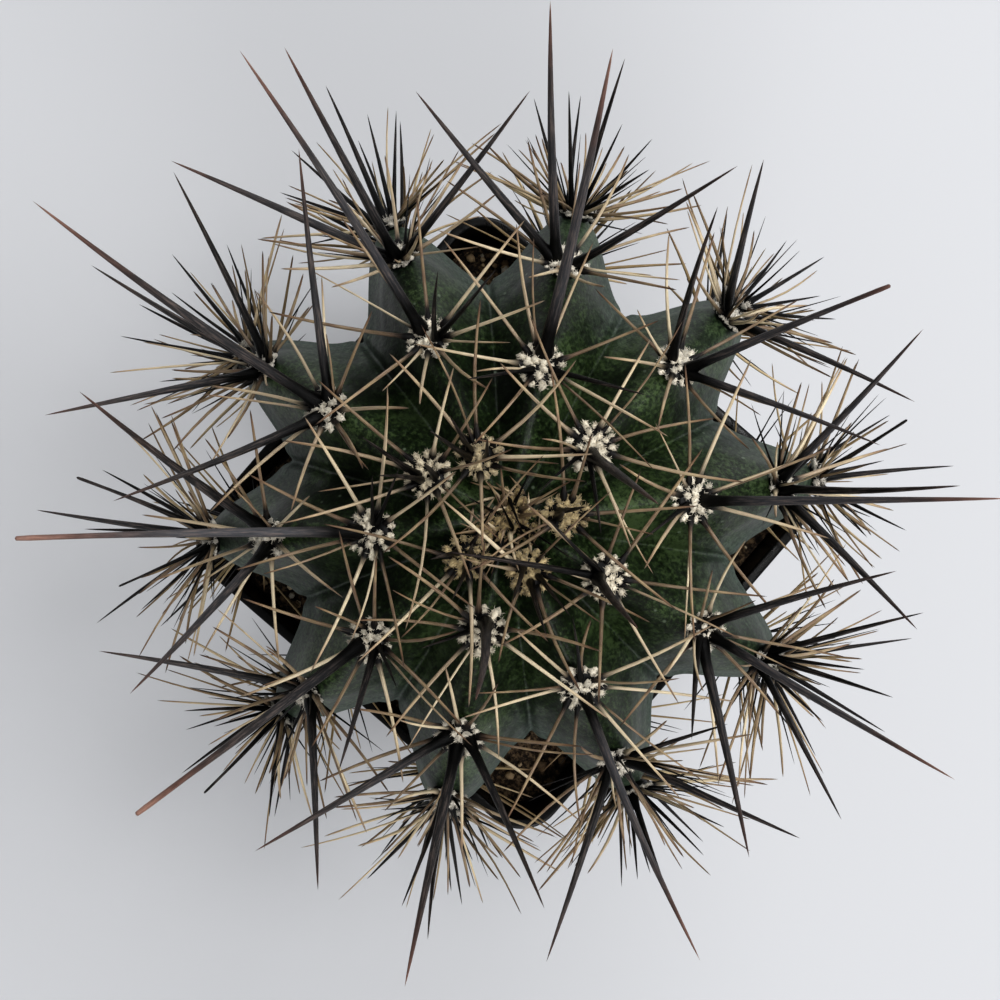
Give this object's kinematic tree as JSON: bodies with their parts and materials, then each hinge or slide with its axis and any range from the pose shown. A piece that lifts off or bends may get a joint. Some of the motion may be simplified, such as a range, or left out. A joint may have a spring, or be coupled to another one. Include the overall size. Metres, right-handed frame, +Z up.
{
  "type": "potted saguaro cactus",
  "caption": "Young globular saguaro cactus with rounded ribs, felt areoles and long spines, rooted in soil in a square tapered nursery pot.",
  "frame": {"origin": "middle of the pot's flat base, on the surface it stands on", "axes": "+Z up; X and Y along the pot's square sides"},
  "size_m": [0.1812, 0.1677, 0.2457],
  "materials": {
    "pot": "moulded polypropylene, satin black",
    "soil": "damp peat with tan grit",
    "stem": "waxy dark green skin, grey-green bloom on the flanks",
    "spines": "charcoal central and straw radial spines on cream felt"
  },
  "bodies": {
    "root": {"areole_01_1": "spines", "areole_01_2": "spines", "areole_01_3": "spines", "areole_01_4": "spines", "areole_01_5": "spines", "areole_01_6": "spines", "areole_02_1": "spines", "areole_02_2": "spines", "areole_02_3": "spines", "areole_02_4": "spines", "areole_02_5": "spines", "areole_03_1": "spines", "areole_03_2": "spines", "areole_03_3": "spines", "areole_03_4": "spines", "areole_03_5": "spines", "areole_04_1": "spines", "areole_04_2": "spines", "areole_04_3": "spines", "areole_04_4": "spines", "areole_04_5": "spines", "areole_05_1": "spines", "areole_05_2": "spines", "areole_05_3": "spines", "areole_05_4": "spines", "areole_05_5": "spines", "areole_06_1": "spines", "areole_06_2": "spines", "areole_06_3": "spines", "areole_06_4": "spines", "areole_06_5": "spines", "areole_07_1": "spines", "areole_07_2": "spines", "areole_07_3": "spines", "areole_07_4": "spines", "areole_07_5": "spines", "areole_07_6": "spines", "areole_08_1": "spines", "areole_08_2": "spines", "areole_08_3": "spines", "areole_08_4": "spines", "areole_08_5": "spines", "areole_09_1": "spines", "areole_09_2": "spines", "areole_09_3": "spines", "areole_09_4": "spines", "areole_09_5": "spines", "areole_09_6": "spines", "areole_10_1": "spines", "areole_10_2": "spines", "areole_10_3": "spines", "areole_10_4": "spines", "areole_10_5": "spines", "crown": "spines", "pot": "pot", "soil": "soil", "stem": "stem"}
  },
  "joints": []
}
